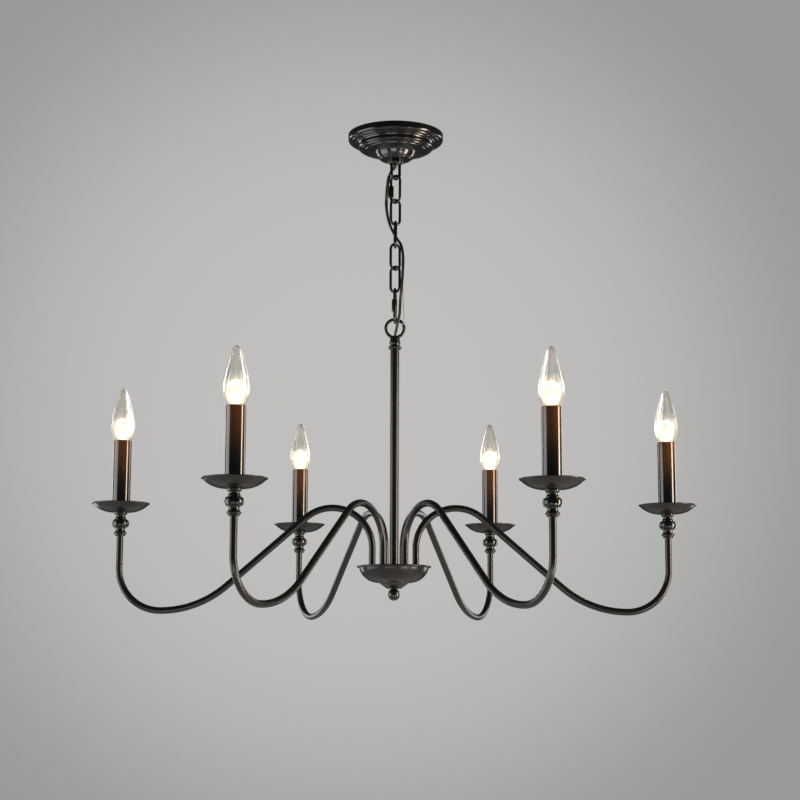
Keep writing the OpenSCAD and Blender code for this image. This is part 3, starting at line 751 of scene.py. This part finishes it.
def cup_outline(shift):
    """The bowl's outside from its foot up to its rim, moved in by the wall."""
    rim_deg = math.degrees(math.asin((RIM_Z - FLAT_Z - BOWL_R) / BOWL_R))
    turns = [math.radians(-90 + (rim_deg + 90) * i / 28) for i in range(29)]
    curve = [(BOWL_X + BOWL_R * math.cos(a), FLAT_Z + BOWL_R + BOWL_R * math.sin(a)) for a in turns]
    steps = rounded([(10.5, CUP_FOOT, 0.8), (BOWL_X - 3.3, FLAT_Z - 1.3, 1.2),
                     (BOWL_X - 2, FLAT_Z - 0.4, 0.5), (BOWL_X - 2, FLAT_Z, 0.2), curve[1]], 4)
    return [Vector((p[0] - shift, p[1] + shift)) for p in [*steps[:-1], *curve[1:]]]


CUP_BORE_R = 3.3
# The rim is rolled outwards to this radius.
ROLL_R = 1.2
lip = [Vector((LIP_R - ROLL_R + ROLL_R * math.cos(a), RIM_Z - ROLL_R + ROLL_R * math.sin(a)))
       for a in [math.radians(turn) for turn in range(-110, 91, 10)]]
keep_outer = [p for p in cup_outline(0) if p.y < RIM_Z - 2.4]
keep_inner = [p for p in cup_outline(WALL) if p.y < RIM_Z - 0.4]
cup_profile = [Vector((CUP_BORE_R, CUP_FOOT)), *keep_outer, Vector((LIP_R - 3.2, RIM_Z - 2.6)), *lip,
               Vector((LIP_R - 4.0, RIM_Z)), *keep_inner[::-1], Vector((CUP_BORE_R, CUP_FOOT + WALL))]
piece("hub_cup_spun", lathe("hub_cup_spun", cup_profile, turns=160, closed=True),
      "cup", "satin_black", satin_black, "hub_cup")

ball_low, ball_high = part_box("finial")
BALL_R = ball_high.x / MM
ball_z = ball_low.z / MM + BALL_R
ball = [Vector((BALL_R * math.cos(a), ball_z + BALL_R * math.sin(a)))
        for a in [math.radians(turn) for turn in range(-90, 70, 4)]]
stud_top = ball_high.z / MM
STUD_R = 3.0
STUD_GROOVE = 0.3
STUD_PITCH = 0.8
finial_profile = [*ball, Vector((3.4, CUP_FOOT - 0.6)), Vector((3.4, CUP_FOOT - 0.1)),
                  Vector((STUD_R, CUP_FOOT))]
z = CUP_FOOT + 1
while z < stud_top - 1:
    finial_profile += [Vector((STUD_R, z)), Vector((STUD_R - STUD_GROOVE, z + STUD_PITCH / 2))]
    z += STUD_PITCH
finial_profile += [Vector((2.4, stud_top)), Vector((0, stud_top))]
piece("ball_finial", lathe("ball_finial", finial_profile), "cup", "gloss_black", gloss_black, "finial")

# These plain pieces need no finer shape, so the frame's own meshes carry their finish.
PLAIN = {"crossbar": zinc, "nipple": zinc, "ceiling_fasteners": zinc, "hub_plate": zinc,
         "wire_connectors": connector}
for name, material in PLAIN.items():
    frame["nodes"][name].data.materials.clear()
    frame["nodes"][name].data.materials.append(material)

PLATE_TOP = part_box("hub_plate")[1].z
PLATE_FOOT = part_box("hub_plate")[0].z
NUT_H = 4 * MM
# The bore of every piece threaded on an arm, in mm.
ARM_BORE_R = 5.05
hub_holes = [Vector(joint(f"arm_{k}_swivel")["pos_m"][:2]) for k in ARMS]


def hex_nut():
    """A hexagonal nut with its corners turned down on both faces."""
    across = 8.2 * MM
    bore = ARM_BORE_R * MM
    chamfer = 0.45 * MM
    shape = bmesh.new()
    rings = []
    count = 48
    for radius_scale, z, is_bore in (
            (0.0, 0, True), (0.93, 0, False), (1.0, chamfer, False),
            (1.0, NUT_H - chamfer, False), (0.93, NUT_H, False), (0.0, NUT_H, True)):
        ring = []
        for s in range(count):
            a = 2 * math.pi * s / count
            flat = across * math.cos(math.pi / 6) / math.cos((a % (math.pi / 3)) - math.pi / 6)
            reach = bore if is_bore else min(flat, across * radius_scale)
            ring.append(shape.verts.new((reach * math.cos(a), reach * math.sin(a), z)))
        rings.append(ring)
    for low, high in zip(rings, rings[1:] + rings[:1]):
        bridge(shape, low, high)
    bmesh.ops.recalc_face_normals(shape, faces=shape.faces)
    return as_mesh("hex_nut", shape, 25)


def nuts_tree(nut_object):
    """Geometry Nodes: one nut standing on each point, each turned by a seeded amount."""
    tree = bpy.data.node_groups.new("nuts_on_points", "GeometryNodeTree")
    face = tree.interface
    face.new_socket("Points", in_out="INPUT", socket_type="NodeSocketGeometry")
    turn = face.new_socket("Turn", in_out="INPUT", socket_type="NodeSocketFloat")
    paint = face.new_socket("Paint", in_out="INPUT", socket_type="NodeSocketMaterial")
    face.new_socket("Nuts", in_out="OUTPUT", socket_type="NodeSocketGeometry")
    start = add(tree, "NodeGroupInput")
    nut = add(tree, "GeometryNodeObjectInfo", {"transform_space": "ORIGINAL"}, {"Object": nut_object})
    chance = add(tree, "FunctionNodeRandomValue", inputs={"Seed": 7},
                 links=[(start.outputs["Turn"], "Max")])
    spin = add(tree, "ShaderNodeCombineXYZ", links=[(chance.outputs[1], "Z")])
    place = add(tree, "GeometryNodeInstanceOnPoints", links=[
        (start.outputs["Points"], "Points"), (nut.outputs["Geometry"], "Instance"),
        (spin.outputs["Vector"], "Rotation")])
    real = add(tree, "GeometryNodeRealizeInstances", links=[(place.outputs["Instances"], "Geometry")])
    painted = add(tree, "GeometryNodeSetMaterial",
                  links=[(real.outputs["Geometry"], "Geometry"), (start.outputs["Paint"], "Material")])
    add(tree, "NodeGroupOutput", links=[(painted.outputs["Geometry"], "Nuts")])
    return tree, turn.identifier, paint.identifier


nut_object = put(bpy.data.objects.new("hex_nut", hex_nut()))
points = bpy.data.meshes.new("nut_points")
points.from_pydata([(h.x, h.y, z) for h in hub_holes for z in (PLATE_TOP, PLATE_FOOT - NUT_H)], [], [])
holder = put(bpy.data.objects.new("nut_points", points))
nuts_group, TURN, PAINT = nuts_tree(nut_object)
modifier = holder.modifiers.new("nuts", "NODES")
modifier.node_group = nuts_group
modifier[TURN] = 0.2
modifier[PAINT] = zinc
nut_mesh = settled(holder)
bpy.data.objects.remove(nut_object)
piece("hub_nuts_zinc", nut_mesh, "fixture", "zinc_steel", zinc, "hub_nuts")

# ---- arms ----

ARM_R = 5 * MM
CREST_R = 59.2 * MM
SLOPE_DEG = 41
ENTRY_R = 147 * MM
EXIT_R = 61.8 * MM


def arm_path(low, high, span):
    """Up out of the hub, over the crest, down the slope, round the low point and up to the candle."""
    crest_mid = high.z - ARM_R - CREST_R
    low_z = low.z + ARM_R + 0.02 * MM
    low_x = span - EXIT_R
    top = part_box("drip_pan_1")[0].z + 9.2 * MM
    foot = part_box("hub_plate")[0].z - 9 * MM
    return [Vector((0, 0, foot)), Vector((0, 0, (foot + crest_mid) / 2)),
            *arc((CREST_R, crest_mid), CREST_R, 180, 90 - SLOPE_DEG, 40),
            *arc((low_x, low_z + ENTRY_R), ENTRY_R, 270 - SLOPE_DEG, 270, 30),
            *arc((low_x, low_z + EXIT_R), EXIT_R, 270, 360, 34)[1:],
            Vector((span, 0, top - 40 * MM)), Vector((span, 0, top))]


def knob_profile(foot, top):
    """The turned knob under a pan, from its foot collar to the flange the pan rests on."""
    knob_r = 12.75
    return rounded([
        (ARM_BORE_R, foot), (7.0, foot), (7.8, foot + 0.8, 0.6), (7.8, foot + 1.6, 0.6),
        (7.2, foot + 2.4, 0.3), (8.6, foot + 2.5, 0.4), (knob_r - 3, foot + 3.3, 0.8),
        (knob_r - 3, foot + 4.7, 0.8), (8.4, foot + 5.6, 0.8), (7.3, foot + 7.4, 2), (7.2, foot + 10.6, 2),
        (8.2, foot + 12.2, 1.0), (11.4, foot + 13.4, 2.5), (knob_r, foot + 16.6, 2.8),
        (knob_r, foot + 20.2, 2.8), (11.4, foot + 23.2, 2.5), (8.6, foot + 24.4, 0.5),
        (8.6, foot + 25.4, 0.8), (8.2, foot + 26.5, 0.5), (7.1, foot + 28.0, 1.5), (7.3, foot + 30.6, 1.5),
        (9.3, foot + 32.0, 0.6), (knob_r - 2.9, foot + 33.2, 0.8), (knob_r - 2.9, top - 0.4, 0.4),
        (9.2, top), (ARM_BORE_R, top)], 5)


def pan_profile(floor, rim, rim_r):
    """A shallow spun pan with a flat floor and a thin rolled rim."""
    flat_r = 13.55
    depth = rim - floor
    sweep = rim_r - flat_r
    bend_r = (sweep * sweep + depth * depth) / (2 * depth)
    wall = 1.2
    roll_r = 0.85
    outside = [Vector((ARM_BORE_R, floor))] + [
        Vector((flat_r + bend_r * math.sin(a), floor + bend_r * (1 - math.cos(a))))
        for a in [math.asin(sweep / bend_r) * i / 26 for i in range(27)]]
    outside = [p for p in outside if p.y < rim - 1.2]
    rim_arc = [Vector((rim_r - 0.7 + roll_r * math.cos(a), rim - roll_r + roll_r * math.sin(a)))
               for a in [math.radians(turn) for turn in range(-60, 151, 15)]]
    inside = [Vector((p.x - 0.25, p.y + wall)) for p in outside if p.y + wall < rim - 0.9][1:]
    return outside + rim_arc + inside[::-1] + [Vector((ARM_BORE_R, floor + wall))]


def sleeve_profile(foot, top, sleeve_r):
    """A plain drawn tube with its ends eased."""
    wall = 1.2
    return rounded([
        (sleeve_r - wall, foot), (sleeve_r - 0.2, foot), (sleeve_r, foot + 0.3, 0.2), (sleeve_r, foot + 50),
        (sleeve_r, top - 0.6, 0.5), (sleeve_r - 0.6, top, 0.4), (sleeve_r - wall, top - 0.3, 0.2),
        (sleeve_r - wall, foot + 50)], 4)


def socket_profile(foot, top):
    """A phenolic screw socket on its rod; the rod's foot grips the top of the arm."""
    inner = 7.2
    return rounded([
        (ARM_BORE_R, foot), (7.2, foot), (7.5, foot + 0.3, 0.2), (7.5, foot + 12.5, 0.4),
        (7.0, foot + 13, 0.2),
        (4.0, foot + 13.2, 0.3), (4.0, top - 40, 0.3), (9.9, top - 40, 0.4), (10.5, top - 39.4, 0.4),
        (10.5, top - 26, 0.2), (10.1, top - 25.6, 0.2), (10.1, top - 24.6, 0.2), (10.5, top - 24.2, 0.2),
        (10.5, top - 0.6, 0.4), (9.9, top, 0.4), (inner, top), (inner, top - 25), (2.5, top - 25),
        (2.5, foot + 9), (ARM_BORE_R, foot + 9)], 3)


def flame_outline(neck_z, tip_z, bulb_r, inset=0.0, steps=30):
    """The outside of a candle lamp's glass, from its neck to its drawn tip."""
    low_h, neck, slim = 25, 8.5, 0.74
    high_h = tip_z - neck_z - low_h
    low_bend = (low_h ** 2 + (bulb_r - neck) ** 2) / (2 * (bulb_r - neck))
    low = [Vector((bulb_r - low_bend + math.sqrt(low_bend ** 2 - (low_h * (1 - i / steps)) ** 2) - inset,
                   neck_z + low_h * i / steps))
           for i in range(steps)]
    high = []
    for i in range(steps):
        a = math.radians(90 * i / steps)
        taper = math.cos(math.pi / 2 * min(math.sin(a) / 0.8, 1)) ** 2
        high.append(Vector((bulb_r * math.cos(a) * (slim + (1 - slim) * taper) - inset,
                            neck_z + low_h + (high_h - inset) * math.sin(a))))
    return [p for p in low + high if p.x > 0.1]


def lamp_shell(neck_z, tip_z, bulb_r):
    """The lamp's glass wall: its outside up to the tip, then back down its inside to the neck."""
    wall = 0.4
    outside = flame_outline(neck_z, tip_z, bulb_r)
    inside = flame_outline(neck_z, tip_z, bulb_r, wall)
    return [*outside, Vector((0, tip_z)), Vector((0, tip_z - wall)), *inside[::-1]]


def lamp_mount(at, neck, name):
    """The lamp's inner mount: a glass stem, two lead wires and a coiled filament between them."""
    stem = lathe(name + "_stem", rounded([
        (0, neck - 1), (5.5, neck - 1), (4.6, neck + 1.5, 1.5), (2.6, neck + 5, 1.5), (2.2, neck + 11, 0.8),
        (1.4, neck + 13, 0.8), (0, neck + 13.4)]), (at.x, at.y), 24)
    leads = []
    for side in (-1, 1):
        path = [Vector((side * 1.2, 0, neck + 11)), Vector((side * 2.2, 0, neck + 15)),
                Vector((side * 5.5, 0, neck + 24)), Vector((side * 5.6, 0, neck + 27))]
        wire = tube(f"{name}_lead", [p * MM for p in smooth_path(path, 3)], 0.25 * MM, 8, nickel)
        leads.append(turned_mesh(wire, 0, (at.x, at.y, 0)))
    coil = []
    turns, half_width, coil_r = 22, 5.6, 0.55
    for i in range(turns * 8 + 1):
        t = i / (turns * 8)
        a = 2 * math.pi * turns * t
        rise = 6.5 * math.sin(math.pi * t)
        coil.append(Vector((-half_width + 2 * half_width * t, coil_r * math.cos(a),
                            neck + 26.5 + rise + coil_r * math.sin(a))) * MM)
    filament = tube(f"{name}_coil", coil, 0.16 * MM, 6, filament_glow)
    filament = turned_mesh(filament, 0, (at.x, at.y, 0))
    return stem, joined(name + "_leads", *leads), filament


def cap_profile(foot, neck):
    """The lamp's screw cap: rolled thread, a waist and a rounded contact end."""
    points = [(0, foot), (2.4, foot + 0.1), (3.2, foot + 0.8), (3.4, foot + 2.2), (5.4, foot + 3.4)]
    pitch = 2.8
    z = foot + 4.2
    while z + pitch < neck - 3:
        points += [(6.1, z), (6.75, z + 0.5 * pitch)]
        z += pitch
    waist = [(6.1, z, 0.3), (6.5, neck - 2.2, 0.3), (6.5, neck + 0.4), (0, neck + 0.4)]
    return rounded([(*p, 0.5) for p in points] + waist, 3)


def heights(node):
    """A node's lowest and highest heights in mm."""
    return [c.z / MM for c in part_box(node)]


knob_heights = heights("arm_knob_1")
pan_heights = heights("drip_pan_1")
sleeve_heights = heights("candle_sleeve_1")
socket_heights = heights("lamp_socket_1")
bulb_low, bulb_high = heights("bulb_1")
SLEEVE_R = 13.25
BULB_R = 17.5
glass_neck = sleeve_heights[1] - 3
# The glow in the glass fades from the first height above its neck to the second.
GLOW_FROM, GLOW_TO = 4, 46
blown_glass = lamp_glass((glass_neck + GLOW_FROM) * MM, (glass_neck + GLOW_TO) * MM)

for k in ARMS:
    arm = f"arm_{k}"
    lamp = f"lamp_{k}"
    hub = hub_holes[k - 1]
    candle = middle(f"candle_sleeve_{k}").to_2d()
    turn = math.degrees(math.atan2(candle.y, candle.x))
    low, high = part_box(f"arm_tube_{k}")
    bend = tube(f"arm_bend_{k}", arm_path(low, high, (candle - hub).length), ARM_R, 40, satin_black)
    turned_mesh(bend, turn, (*hub, 0))
    piece(f"arm_bend_{k}", bend, arm, "satin_black", satin_black, f"arm_tube_{k}")
    low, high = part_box(f"drip_pan_{k}")
    pan_r = (high.x - low.x) / 2 / MM
    for name, profile, turns, slot, material, node in (
            ("turned_knob", knob_profile(*knob_heights), 72, "gloss_black", gloss_black, "arm_knob"),
            ("wax_pan", pan_profile(*pan_heights, pan_r - 0.15), 128, "satin_black", satin_black, "drip_pan"),
            ("sleeve", sleeve_profile(*sleeve_heights, SLEEVE_R), 72, "sleeve_black", sleeve_black,
             "candle_sleeve"),
            ("socket", socket_profile(*socket_heights), 56, "socket_black", phenolic, "lamp_socket")):
        mesh = lathe(f"{name}_{k}", profile, candle, turns, closed=True)
        piece(f"{name}_{k}", mesh, arm, slot, material, f"{node}_{k}")
    shell = lathe(f"lamp_glass_{k}", lamp_shell(glass_neck, bulb_high, BULB_R), candle, 80)
    blown = piece(f"lamp_glass_{k}", shell, lamp, "bulb_glass", blown_glass, f"bulb_{k}")
    blown.visible_shadow = False
    cap = lathe(f"lamp_cap_{k}", cap_profile(bulb_low, glass_neck), candle, 48)
    piece(f"lamp_cap_{k}", cap, lamp, "bulb_glass", nickel)
    stem, leads, filament = lamp_mount(candle, glass_neck, lamp)
    piece(f"lamp_stem_{k}", stem, lamp, "bulb_glass", mount_glass)
    piece(f"lamp_leads_{k}", leads, lamp, "bulb_glass", nickel)
    piece(f"lamp_filament_{k}", filament, lamp, "bulb_glass", filament_glow)

# ---- floor, surroundings and light ----

FLOOR_Z = -1.9
FLOOR_R = 3.0
floor_shape = bmesh.new()
bmesh.ops.create_circle(floor_shape, cap_ends=True, segments=96, radius=FLOOR_R)
bmesh.ops.translate(floor_shape, vec=(0, 0, FLOOR_Z), verts=floor_shape.verts)
floor = put(bpy.data.objects.new("floor", as_mesh("floor", floor_shape)))
floor.data.materials.append(finish(
    "pale_floor_paint", Roughness=0.8, Base_Color=linear("#b9b7b4"),
    Emission_Color=linear("#b0aeac"), Emission_Strength=0.5)[0])

# The backdrop is brightest in this direction and falls off to an even grey by the edge, a cosine.
POOL_TOWARDS = Vector((-0.0271, 0.9888, 0.1467)).normalized()
POOL_EDGE = 0.9543

world = bpy.data.worlds.new("room")
bpy.context.scene.world = world
world.use_nodes = True
room = world.node_tree
room.nodes.clear()
look = add(room, "ShaderNodeTexCoord").outputs["Generated"]
towards = add(room, "ShaderNodeVectorMath", {"operation": "DOT_PRODUCT"}, {1: POOL_TOWARDS}, [(look, 0)])
pool = smooth_step(room, towards.outputs["Value"], POOL_EDGE, 1.0)
wall = add(room, "ShaderNodeValToRGB", links=[(pool, "Fac")])
ramp(wall, (0.0, linear("#9a9a9a")), (1.0, linear("#c0bfbd")))
rays = add(room, "ShaderNodeLightPath")
straight = add(room, "ShaderNodeMath", {"operation": "MAXIMUM"}, {},
               [(rays.outputs["Is Camera Ray"], 0), (rays.outputs["Is Transmission Ray"], 1)])
seen = add(room, "ShaderNodeBackground", inputs={"Strength": 1.0}, links=[(wall.outputs["Color"], "Color")])
shade = add(room, "ShaderNodeBackground", inputs={"Color": linear("#a8a6a4"), "Strength": 0.14})
choice = add(room, "ShaderNodeMixShader", links=[
    (straight.outputs["Value"], 0), (shade.outputs["Background"], 1), (seen.outputs["Background"], 2)])
add(room, "ShaderNodeOutputWorld", links=[(choice.outputs["Shader"], "Surface")])


def soft_light(name, at, aim, size, power, colour="#ffffff"):
    """A large rectangular soft light, aimed at a point."""
    data = bpy.data.lights.new(name, "AREA")
    data.shape = "RECTANGLE"
    data.size, data.size_y = size
    data.energy = power
    data.color = linear(colour)[:3]
    lamp = put(bpy.data.objects.new(name, data))
    lamp.visible_camera = False
    direction = Vector(aim) - Vector(at)
    lamp.matrix_world = Matrix.Translation(at) @ direction.to_track_quat("-Z", "Y").to_matrix().to_4x4()


AIM = (0, 0, -0.6)
soft_light("left_box", (-1.75, -0.35, -0.75), AIM, (1.5, 1.5), 20)
soft_light("right_strip", (1.75, -0.55, -0.7), AIM, (0.45, 1.6), 38, "#ffe9cf")
soft_light("low_front", (-0.5, -2.2, -1.75), AIM, (1.4, 0.5), 9)
soft_light("low_right", (1.3, -1.6, -1.7), AIM, (0.7, 0.4), 7)
soft_light("back_right", (1.5, 1.3, -0.6), AIM, (0.4, 1.4), 8)
soft_light("back_left", (-1.4, 1.4, -0.6), AIM, (0.4, 1.4), 6)


LAMP_POWER = 0.3
LAMP_GLOW_R = 12 * MM
# How far above its glass's neck a lamp's light stands, in mm.
LAMP_LIGHT_UP = 28


def lamp_light(k):
    """The light that a lit lamp throws on the pieces round it."""
    data = bpy.data.lights.new(f"lamp_light_{k}", "POINT")
    data.energy = LAMP_POWER
    data.color = linear("#ffd9ae")[:3]
    data.shadow_soft_size = LAMP_GLOW_R
    lamp = put(bpy.data.objects.new(f"lamp_light_{k}", data))
    lamp.visible_camera = False
    lamp.visible_transmission = False
    lamp.visible_glossy = False
    candle = middle(f"candle_sleeve_{k}")
    lamp.location = (candle.x, candle.y, (glass_neck + LAMP_LIGHT_UP) * MM)
    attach(lamp, f"lamp_{k}")


for k in ARMS:
    lamp_light(k)
